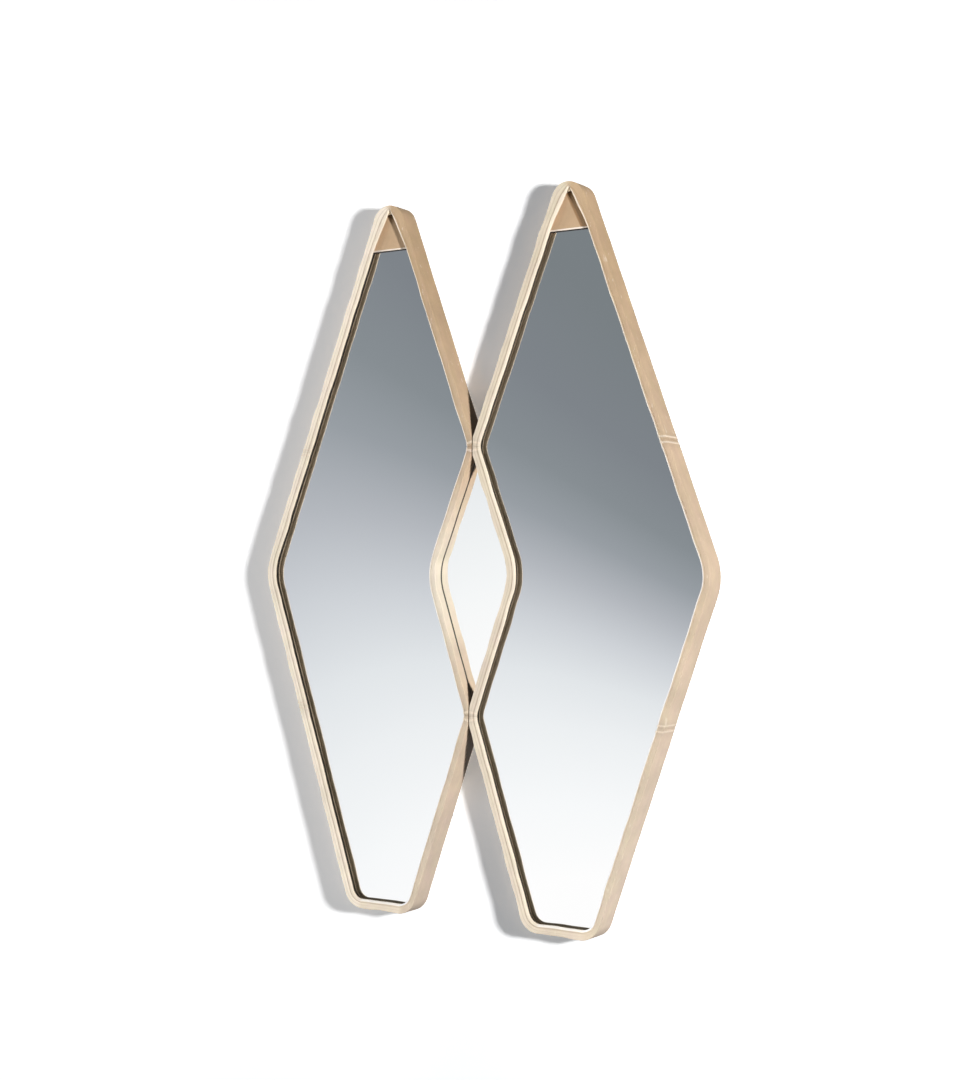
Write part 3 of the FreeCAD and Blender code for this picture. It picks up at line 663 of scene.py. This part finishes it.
class Finish:
    """A procedural material, world or lamp under construction."""

    def __init__(self, owner):
        owner.use_nodes = True
        self.owner, self.tree = owner, owner.node_tree
        self.tree.nodes.clear()

    def node(self, kind, settings=None, sockets=None, out=0):
        """Adds a node, sets its settings first, then its socket values or links, and returns one output."""
        node = self.tree.nodes.new(kind)
        for key, value in (settings or {}).items():
            if key == "stops":
                while len(node.color_ramp.elements) > 1:
                    node.color_ramp.elements.remove(node.color_ramp.elements[-1])
                for i, (place, rgb) in enumerate(value):
                    stop = node.color_ramp.elements[0] if i == 0 else node.color_ramp.elements.new(place)
                    stop.position, stop.color = place, tuple(rgb) + (1.0,)
            else:
                setattr(node, key, value)
        for key, value in (sockets or {}).items():
            socket = node.inputs[key]
            if isinstance(value, Wire):
                self.tree.links.new(value.socket, socket)
            elif socket.type == "RGBA" and len(value) == 3:
                socket.default_value = tuple(value) + (1.0,)
            else:
                socket.default_value = value
        return Wire(self, node.outputs[out]) if node.outputs else None

    def maths(self, operation, a, b=0.0):
        return self.node("ShaderNodeMath", {"operation": operation}, {0: a, 1: b})

    def blend(self, factor, a, b, mode="MIX"):
        """Mix of two colours."""
        settings = {"data_type": "RGBA", "blend_type": mode}
        return self.node("ShaderNodeMix", settings, {0: factor, 6: a, 7: b}, 2)

    def dimmed(self, rgb, red, green=None, blue=None):
        """A colour times one shade, or times a shade for each channel."""
        shades = {"Red": red, "Green": green or red, "Blue": blue or red}
        return self.blend(1.0, rgb, self.node("ShaderNodeCombineColor", None, shades), "MULTIPLY")

    def stretched(self, vector, scale):
        return self.node("ShaderNodeMapping", None, {"Vector": vector, "Scale": scale})

    def place(self, stretch=(1.0, 1.0, 1.0)):
        """Object coordinates, stretched."""
        return self.stretched(self.node("ShaderNodeTexCoord", out="Object"), stretch)

    def part(self, vector, axis):
        """X, Y or Z of a vector, as axis 0, 1 or 2."""
        return self.node("ShaderNodeSeparateXYZ", None, {"Vector": vector}, axis)

    def noise(self, where, scale, detail=3.0, rough=0.5):
        sockets = {"Vector": where, "Scale": scale, "Detail": detail, "Roughness": rough}
        return self.node("ShaderNodeTexNoise", None, sockets)

    def pores(self, where):
        """Round pores about a millimetre apart."""
        return self.node("ShaderNodeTexVoronoi", {"feature": "F1"}, {"Vector": where, "Scale": 1100.0})

    def mark(self, name):
        """A float attribute of the piece."""
        return self.node("ShaderNodeAttribute", {"attribute_name": name}, out="Fac")

    def ray(self, kind):
        """1 for one kind of ray and 0 for the others."""
        return self.node("ShaderNodeLightPath", out=kind)

    def bump(self, height, distance, strength):
        sockets = {"Height": height, "Distance": distance, "Strength": strength}
        return self.node("ShaderNodeBump", None, sockets)

    def surface(self, **sockets):
        """The principled shader, sent to the output. Underscores in a name stand for spaces."""
        named = {key.replace("_", " "): value for key, value in sockets.items()}
        self.output(self.node("ShaderNodeBsdfPrincipled", None, named))
        return self.owner

    def output(self, shader):
        is_world = isinstance(self.owner, bpy.types.World)
        kind = "ShaderNodeOutputWorld" if is_world else "ShaderNodeOutputMaterial"
        self.node(kind, None, {"Surface": shader})


def new_finish(name):
    return Finish(bpy.data.materials.new(name))


def hide_finish(c, s):
    """Tan hide: mottled tone, pores, faint lengthwise lines, a few pale scuffs and pale stitch rows with
    wrinkles beside them; painted light on the fronts of the left legs, towards the bottom and on the left
    fold; a cream lip and outer edge with painted highlights; painted shade in the creases and wrinkles and
    on the left frame's outer faces; and painted shadows at the contacts and beside the centre glass."""
    f = new_finish("tan_hide")
    where, run = f.place(), f.node("ShaderNodeUVMap", {"uv_map": "run"})
    tone = f.noise(where, 26.0, 4.0, 0.6)
    cloud = f.noise(where, 11.0, 2.0)
    fine = f.noise(where, 900.0, 2.0, 0.6)
    hue = f.noise(f.place((1.0, 1.0, 0.5)), 48.0, 2.0) - 0.5
    lines = f.noise(f.stretched(run, (9.0, 420.0, 1.0)), 1.0, 2.0)
    creases = f.noise(f.stretched(run, (420.0, 60.0, 1.0)), 1.0, 2.0)
    scuff = f.noise(f.place((1.0, 1.0, 0.35)), 95.0, 3.0, 0.65).step(0.64, 0.72)
    front, lip, under, crease, edge = map(f.mark, ("front", "lip", "under", "crease", "edge"))
    pale, far, seam, nook, fold = map(f.mark, ("pale", "far", "seam", "nook", "fold"))
    # low: 0 at the top, 1 near the bottom; the low colours paint the hide lighter there, as more light and
    # sheen reach it
    fall = {"Value": f.part(where, 2), "From Min": -0.1, "From Max": -1.25}
    low = f.node("ShaderNodeMapRange", None, fall)
    row = 1.0 - f.maths("ABSOLUTE", seam - 0.5 * MM * s.row_space).step(1.2, 2.6)
    wrinkle = (1.0 - seam.step(7.0, 22.0)) * creases
    # painted shadow: a dark line on the folds' outer faces just in front of the centre glass
    gap = fold.step(0.0, 0.02) * f.part(where, 1).step(-0.0268, -0.0262)

    # painted light: the left legs' fronts paler than the right legs', and paler still on the left frame's
    # left legs
    cream = f.blend(far * 0.85, f.blend(low, c.pale, c.pale_low), c.pale_far)
    tint = f.blend(pale, f.blend(low, c.front, c.front_low), cream)
    tint = f.blend(front, f.blend(low, c.outer, c.outer_low), tint)
    # painted light: the left fold's outer face lighter in its middle, where light from the centre glass
    # falls on it
    tint = f.blend(fold * (1.0 - pale) * 0.75, tint, FOLD_REFLECTED_LIGHT)
    # the lip: partly its paler hide, partly a painted highlight, brightest on the right legs low down
    tint = f.blend(lip, tint, f.blend(pale, f.blend(low, c.lip, c.lip_highlight_low), c.pale_lip))
    # painted highlight along the outer edge of the right frame's left legs
    tint = f.blend(edge * pale * (1.0 - far) * 0.45, tint, c.lip)
    tint = f.blend(scuff * 0.5 * (1.0 - lip), tint, SCUFFED)
    tint = f.blend(row * 0.75, tint, c.thread)
    # tone, cloud, fine and lines give the hide's own uneven tone; the wrinkles beside the seams darken it
    # with painted shade
    shade = tone * 0.30 + cloud * 0.20 + fine * 0.16 + lines * 0.16 - wrinkle * 0.16 + 0.59
    # painted shade: the left frame's outer faces darker, more so low down
    shade = shade - far * (1.0 - front) * (low * 0.07 + 0.085)
    tint = f.dimmed(tint, shade, shade - hue * 0.08, shade + hue * 0.06)
    # painted shade in the crease beside the lip and along a second line, stronger on the left legs
    tint = f.blend(crease * (pale * 0.58 + 0.05), tint, CREASE_SHADE_BROWN)
    # painted light: the turned-under hide lighter than the outer hide, for its shaded underside
    tint = f.blend(under, tint, c.under)
    # painted key shadow on the outer faces near the contacts
    tint = f.blend(nook * 0.8, tint, CONTACT_SHADOW_BROWN)
    # painted shadow in the gap beside the centre glass
    tint = f.blend(gap * 0.9, tint, GLASS_GAP_SHADOW)
    height = fine * 0.5 + f.pores(where) * 0.5 + tone * 0.8 + lines * 0.35 + wrinkle * 1.5
    return f.surface(Base_Color=tint, Roughness=0.46 + tone * 0.2 + fine * 0.08 + row * 0.04,
                     Normal=f.bump(height, 0.0003, 0.7), Specular_IOR_Level=0.3)


def panel_finish(c):
    """The same hide laid flat on the apex panel, with a painted highlight line above a painted shadow on its
    turned edge, painted light beside the left lip and a little over the whole left panel, and on the right
    frame a darker, warmer painted shadow beside the right lip."""
    f = new_finish("panel_hide")
    where = f.place()
    tone, fine = f.noise(where, 30.0, 4.0, 0.6), f.noise(where, 900.0, 2.0, 0.6)
    up, left, right = f.mark("height"), f.mark("from_left"), f.mark("from_right")
    right_frame = f.part(where, 0).step(-0.01, 0.01)
    # painted light beside the left lip and a little over the whole left panel; on the right frame a darker,
    # warmer painted shadow beside the right lip
    lit_beside_left_lip = (1.0 - left.step(2.0, 22.0)) * right.step(12.0, 20.0)
    painted_shadow_band = right_frame * right.step(11.5, 15.5) * (1.0 - right.step(16.0, 20.0))
    warm_painted_shadow = right_frame * (1.0 - right.step(17.0, 20.0))
    light = 1.0 + lit_beside_left_lip * 0.34 + (1.0 - right_frame) * 0.09 - painted_shadow_band * 0.29
    shade = tone * 0.28 + fine * 0.16 + 0.78
    tint = f.dimmed(c.panel, *(shade * (light - warm_painted_shadow * share) for share in (0.13, 0.22, 0.31)))
    # painted highlight above the panel's lower edge
    tint = f.blend(1.0 - up.step(4.2, 5.6), tint, PANEL_EDGE_HIGHLIGHT)
    # painted shadow on the panel's turned edge
    tint = f.blend(1.0 - up.step(1.4, 2.0), tint, PANEL_EDGE_SHADOW)
    return f.surface(Base_Color=tint, Roughness=0.5 + tone * 0.15,
                     Normal=f.bump(fine + f.pores(where) * 0.5, 0.0003, 0.7), Specular_IOR_Level=0.3)


def thread_finish(c):
    """Pale waxed thread with a fine twist."""
    f = new_finish("waxed_thread")
    twist = f.node("ShaderNodeTexWave", {"bands_direction": "DIAGONAL"},
                   {"Vector": f.place(), "Scale": 700.0, "Distortion": 1.0})
    return f.surface(Base_Color=f.blend(twist, THREAD_DARK, c.thread), Roughness=0.5 + twist * 0.1,
                     Normal=f.bump(twist, 0.0001, 0.6))


def mirror_finish(name, silver, lean):
    """Silvered glass: a mirror on its front, grey paint on its back, and a faint uneven tint. The lean tips
    its face down."""
    f = new_finish(name)
    tone = f.noise(f.place(), 3.0, 2.0)
    normal = f.node("ShaderNodeNewGeometry", out="Normal")
    facing = f.part(normal, 1)
    painted, silvered = facing.step(0.4, 0.6), 1.0 - facing.step(-0.6, -0.4)
    tint = f.blend(tone, silver, tuple(0.985 * v for v in silver))
    tint = f.blend(1.0 - silvered, tint, GLASS_RIM)
    tint = f.blend(painted, tint, GLASS_BACK)
    rough = tone * 0.004 + (1.0 - silvered) * 0.3
    sockets = {"Base_Color": tint, "Metallic": silvered, "Roughness": rough}
    if lean:
        tipped = f.node("ShaderNodeVectorMath", {"operation": "ADD"}, {0: normal, 1: (0.0, 0.0, -lean)})
        sockets["Normal"] = f.node("ShaderNodeVectorMath", {"operation": "NORMALIZE"}, {0: tipped})
    return f.surface(**sockets)


def wood_finish(name, rgb, stretch, contrast, bump, painted=False):
    """Wood: long soft grain with fine pores along it, and where painted, a dark strip beside the glass:
    painted shade in the cavity under the lip.
    """
    f = new_finish(name)
    streak = f.noise(f.place(stretch), 60.0, 5.0, 0.6)
    pore = f.noise(f.place(tuple(6.0 * v for v in stretch)), 140.0, 2.0)
    tint = f.dimmed(rgb, streak * contrast + pore * 0.25 * contrast + (1.0 - 0.62 * contrast))
    if painted:
        # painted shade in the cavity under the lip, on the core just in front of the glass
        depth = f.part(f.place(), 1)
        strip = depth.step(-0.0352, -0.0340) * (1.0 - depth.step(-0.0285, -0.0275))
        tint = f.blend(strip, tint, CAVITY_SHADE_STRIP)
    return f.surface(Base_Color=tint, Roughness=0.5 + streak * 0.25,
                     Normal=f.bump(streak + pore * 0.5, bump, 0.5))


def plain_finish(name, rgb, metallic, low, high, scale, stretch, bump):
    """Plated steel, rubber or tape: a fine uneven tone with roughness to match."""
    f = new_finish(name)
    tone = f.noise(f.place(stretch), scale, 4.0, 0.6)
    tint = f.blend(tone, tuple(0.82 * v for v in rgb), tuple(min(1.0, 1.12 * v) for v in rgb))
    return f.surface(Base_Color=tint, Metallic=metallic, Roughness=low + tone * (high - low),
                     Normal=f.bump(tone, bump, 0.5))


def dress(names, finish):
    """Gives CAD nodes a finish."""
    for name in names:
        mesh = frame["nodes"][name].data
        mesh.materials.clear()
        mesh.materials.append(finish)


def settings():
    scene = bpy.context.scene
    return scene.mirror_hide, scene.mirror_colours, scene.mirror_stage


# Operators

class MIRROR_OT_covers(bpy.types.Operator):
    """Wraps the ribbons in hide, four covers to a frame"""
    bl_idname = "mirror.covers"
    bl_label = "Hide covers"

    def execute(self, context):
        s, c, _ = settings()
        finish = hide_finish(c, s)
        for side in SIDES:
            for kind in ("top", "corner", "bottom", "fold"):
                hide_cover(side, kind, s, finish)
        return {"FINISHED"}


class MIRROR_OT_panels(bpy.types.Operator):
    """Covers the two apex panels"""
    bl_idname = "mirror.panels"
    bl_label = "Apex panel covers"

    def execute(self, context):
        finish = panel_finish(settings()[1])
        for side in SIDES:
            panel_cover(side, finish)
        return {"FINISHED"}


class MIRROR_OT_stitching(bpy.types.Operator):
    """Sews the double rows across the seams"""
    bl_idname = "mirror.stitching"
    bl_label = "Stitching"

    def execute(self, context):
        s, c, _ = settings()
        finish = thread_finish(c)
        for side in SIDES:
            stitching(side, s, finish)
        return {"FINISHED"}


class MIRROR_OT_glass(bpy.types.Operator):
    """Silvers the three glasses"""
    bl_idname = "mirror.glass"
    bl_label = "Mirror glass"

    def execute(self, context):
        dress(("right_glass", "left_glass"), mirror_finish("silvered_glass", (0.995, 0.995, 0.995), 0.0))
        dress(("centre_glass",), mirror_finish("centre_silvered_glass", (0.98, 0.98, 0.975), 0.078))
        return {"FINISHED"}


class MIRROR_OT_backing(bpy.types.Operator):
    """Finishes cores, boards, fittings, bumpers and tape"""
    bl_idname = "mirror.backing"
    bl_label = "Cores, boards and fittings"

    def execute(self, context):
        c = settings()[1]
        even, grain = (1.0, 1.0, 1.0), (1.0, 1.0, 0.2)
        finishes = {
            # the core wood carries the cavity's painted shade beside the glass
            "core_wood": wood_finish("core_wood", c.core, (1.0, 1.0, 0.08), 0.6, 0.0003, True),
            "board": wood_finish("plywood_back", c.board, (1.0, 1.0, 0.05), 0.55, 0.0002),
            "steel": plain_finish("zinc_steel", c.steel, 1.0, 0.28, 0.5, 220.0, grain, 0.00005),
            "bumper": plain_finish("soft_rubber", c.rubber, 0.0, 0.6, 0.85, 400.0, even, 0.0001),
            "tape": plain_finish("foam_tape", c.tape, 0.0, 0.7, 0.9, 900.0, even, 0.0002),
        }
        slots = {p["node"]: p["material_slot"] for p in frame["record"]["subparts"]}
        for slot, finish in finishes.items():
            dress([name for name in frame["nodes"] if slots.get(name) == slot], finish)
        return {"FINISHED"}


# Stage

def stage_sheet(name, near, far, finish):
    """A flat sheet as wide as the stage, from one pair of Y and Z to another."""
    corners = [(-STAGE_HALF, *near), (STAGE_HALF, *near), (STAGE_HALF, *far), (-STAGE_HALF, *far)]
    mesh = bpy.data.meshes.new(name)
    mesh.from_pydata(corners, [], [(0, 1, 2, 3)])
    mesh.materials.append(finish)
    sheet = bpy.data.objects.new(name, mesh)
    bpy.context.scene.collection.objects.link(sheet)
    return sheet


def stage_finish(name, rgb, one_sided):
    """A pale matt sheet that only the camera sees, and one_sided only from its front. It has some light of
    its own: dimmer and cooler on the right, white far to the left, and less in two ellipses near the
    contacts."""
    f = new_finish(name)
    where = f.place()
    tone = f.noise(where, 2.0, 2.0)
    aside = f.part(where, 0)
    glare = f.blend(aside.step(0.05, -0.4), GLARE_SHADED, GLARE_LEFT)
    glare = f.blend(aside.step(-0.45, -1.3), glare, WHITE)
    half_wide, half_high, shift, dimming = 0.07, 0.15, 0.3, 0.35
    for height in (-0.40, -1.07):
        ellipse = {"Vector": where, "Location": (shift, 0.0, -height / half_high),
                   "Scale": (1.0 / half_wide, 0.0, 1.0 / half_high)}
        middle = f.node("ShaderNodeMapping", None, ellipse)
        away = f.node("ShaderNodeVectorMath", {"operation": "LENGTH"}, {0: middle}, "Value")
        glare = f.blend((1.0 - away.step(0.25, 1.0)) * dimming, glare, BLACK)
    matt = f.node("ShaderNodeBsdfPrincipled", None, {
        "Base Color": f.blend(tone, rgb, tuple(0.99 * v for v in rgb)), "Roughness": 1.0,
        "Specular IOR Level": 0.0, "Emission Color": glare, "Emission Strength": STAGE_GLOW})
    seen = f.ray("Is Camera Ray")
    if one_sided:
        seen = seen * (1.0 - f.node("ShaderNodeNewGeometry", out="Backfacing"))
    f.output(f.node("ShaderNodeMixShader", None, {0: seen, 1: f.node("ShaderNodeBsdfTransparent"), 2: matt}))
    return f.owner


def room(ambient):
    """World: white to the camera; to the mirrors a room that is dark above and white below; a low level of
    light to the rest. In degrees the mirrored height is rise (1 - fan turn) + turn (bow turn - slant)."""
    f = Finish(bpy.data.worlds.new("room"))
    bpy.context.scene.world = f.owner
    direction = f.node("ShaderNodeTexCoord", out="Generated")
    x, y, z = (f.part(direction, axis) for axis in range(3))
    degrees = 180.0 / math.pi
    turn = f.maths("ARCTAN2", 0.0 - x, 0.0 - y) * degrees - CAMERA_TURN
    turn = f.maths("MINIMUM", f.maths("MAXIMUM", turn, -ROOM_ASIDE), ROOM_ASIDE)
    rise = f.maths("ARCSINE", z) * degrees
    rise = rise * (1.0 - turn * ROOM_FAN) + turn * (turn * ROOM_BOW - ROOM_SLANT)
    stops = [((degree + ROOM_SPAN) / (2.0 * ROOM_SPAN), srgb(*rgb)) for degree, rgb in ROOM_STOPS]
    mirrored = f.node("ShaderNodeValToRGB", {"stops": stops}, {0: (rise + ROOM_SPAN) * (0.5 / ROOM_SPAN)})
    around = f.blend(z.step(-0.9, 0.9), (1.5 * ambient,) * 3, (0.5 * ambient,) * 3)
    tint = f.blend(f.ray("Is Glossy Ray"), around, mirrored)
    tint = f.blend(f.ray("Is Camera Ray"), tint, WHITE)
    tint = f.blend(f.ray("Is Transmission Ray"), tint, WHITE)
    f.output(f.node("ShaderNodeBackground", None, {"Color": tint, "Strength": 1.0}))


def lamp_object(name, light):
    """A lamp in the scene, which the mirrors don't show."""
    thing = bpy.data.objects.new(name, light)
    thing.visible_glossy = False
    bpy.context.scene.collection.objects.link(thing)
    return thing


def link_sheets(thing, sheets, state):
    """Makes a lamp light only the sheets, with INCLUDE, or everything else, with EXCLUDE."""
    group = bpy.data.collections.new(thing.name + "_sheets")
    for sheet in sheets:
        group.objects.link(sheet)
    for entry in group.collection_objects:
        entry.light_linking.link_state = state
    thing.light_linking.receiver_collection = group


def sun(name, towards, strength, spread, skipped):
    """A sun lamp whose light comes from the given direction, and which doesn't light the skipped sheets."""
    light = bpy.data.lights.new(name, "SUN")
    light.energy, light.angle = strength, spread
    thing = lamp_object(name, light)
    thing.rotation_euler = Vector(towards).to_track_quat("Z", "Y").to_euler()
    link_sheets(thing, skipped, "EXCLUDE")


def key_lamp(name, strength, only=()):
    """A round lamp at the key light's place with the given strength at its reach, which falls off only in
    proportion to the distance, for all or only for some sheets."""
    light = bpy.data.lights.new(name, "POINT")
    light.energy, light.shadow_soft_size = 4.0 * math.pi * strength, KEY_R
    f = Finish(light)
    even = f.node("ShaderNodeLightFalloff", None, {"Strength": KEY_REACH}, "Linear")
    emission = f.node("ShaderNodeEmission", None, {"Strength": even})
    f.node("ShaderNodeOutputLight", None, {"Surface": emission})
    thing = lamp_object(name, light)
    thing.location = KEY_PLACE
    if only:
        link_sheets(thing, only, "INCLUDE")


def new_camera(g):
    """The camera at its place, turned off the wall's normal, tilted and rolled."""
    camera = bpy.data.cameras.new("camera")
    camera.sensor_width, camera.sensor_fit = SENSOR, "AUTO"
    camera.lens = g.lens_px * SENSOR / PICTURE_HIGH
    level_part = math.cos(g.tilt)
    ahead = Vector((-math.sin(g.turn) * level_part, math.cos(g.turn) * level_part, math.sin(g.tilt)))
    right = Vector((math.cos(g.turn), math.sin(g.turn), 0.0))
    up = right.cross(ahead)
    across = right * math.cos(g.roll) + up * math.sin(g.roll)
    over = up * math.cos(g.roll) - right * math.sin(g.roll)
    thing = bpy.data.objects.new("camera", camera)
    thing.matrix_world = Matrix((across, over, -ahead)).transposed().to_4x4()
    thing.location = g.place
    bpy.context.scene.collection.objects.link(thing)
    return thing


class MIRROR_OT_stage(bpy.types.Operator):
    """Sets camera, lights, wall and floor"""
    bl_idname = "mirror.stage"
    bl_label = "Stage"

    def execute(self, context):
        g = settings()[2]
        scene = context.scene
        scene.camera = new_camera(g)
        foot = (WALL_Y, FLOOR_Z)
        wall = stage_finish("pale_wall", srgb(253, 253, 253), True)
        floor = stage_finish("pale_floor", srgb(244, 244, 243), False)
        sheets = (stage_sheet("wall", foot, (WALL_Y, WALL_TOP), wall),
                  stage_sheet("floor", (FLOOR_FRONT, FLOOR_Z), foot, floor))
        key_lamp("key", g.key)
        key_lamp("wall_key", WALL_SHARE * g.key, sheets)
        sun("left_fill", (-0.95, -0.31, 0.0), g.fill, 1.1, sheets)
        sun("back_fill", (0.0, 1.0, 0.0), g.back, 0.12, sheets)
        sun("top_fill", (0.0, 0.0, 1.0), TOP_FILL, 1.0, sheets)
        room(g.ambient)
        scene.view_settings.view_transform = "Standard"
        return {"FINISHED"}


OPERATORS = (MIRROR_OT_stage, MIRROR_OT_covers, MIRROR_OT_panels, MIRROR_OT_stitching, MIRROR_OT_glass,
             MIRROR_OT_backing)


class MIRROR_PT_panel(bpy.types.Panel):
    """Lists the steps that dress the mirror"""
    bl_idname = "MIRROR_PT_panel"
    bl_label = "Twin diamond mirror"
    bl_space_type = "VIEW_3D"
    bl_region_type = "UI"
    bl_category = "Mirror"

    def draw(self, context):
        for step in OPERATORS:
            self.layout.operator(step.bl_idname)


GROUPS = (("mirror_hide", MirrorHideSettings), ("mirror_colours", MirrorColourSettings),
          ("mirror_stage", MirrorStageSettings))


def register():
    for _, group in GROUPS:
        bpy.utils.register_class(group)
    for name, group in GROUPS:
        setattr(bpy.types.Scene, name, PointerProperty(type=group))
    for step in OPERATORS + (MIRROR_PT_panel,):
        bpy.utils.register_class(step)


def unregister():
    for step in (MIRROR_PT_panel,) + OPERATORS[::-1]:
        bpy.utils.unregister_class(step)
    for name, group in GROUPS[::-1]:
        delattr(bpy.types.Scene, name)
        bpy.utils.unregister_class(group)


def main():
    register()
    for step in (bpy.ops.mirror.stage, bpy.ops.mirror.covers, bpy.ops.mirror.panels,
                 bpy.ops.mirror.stitching, bpy.ops.mirror.glass, bpy.ops.mirror.backing):
        step()


if __name__ == "__main__":
    main()
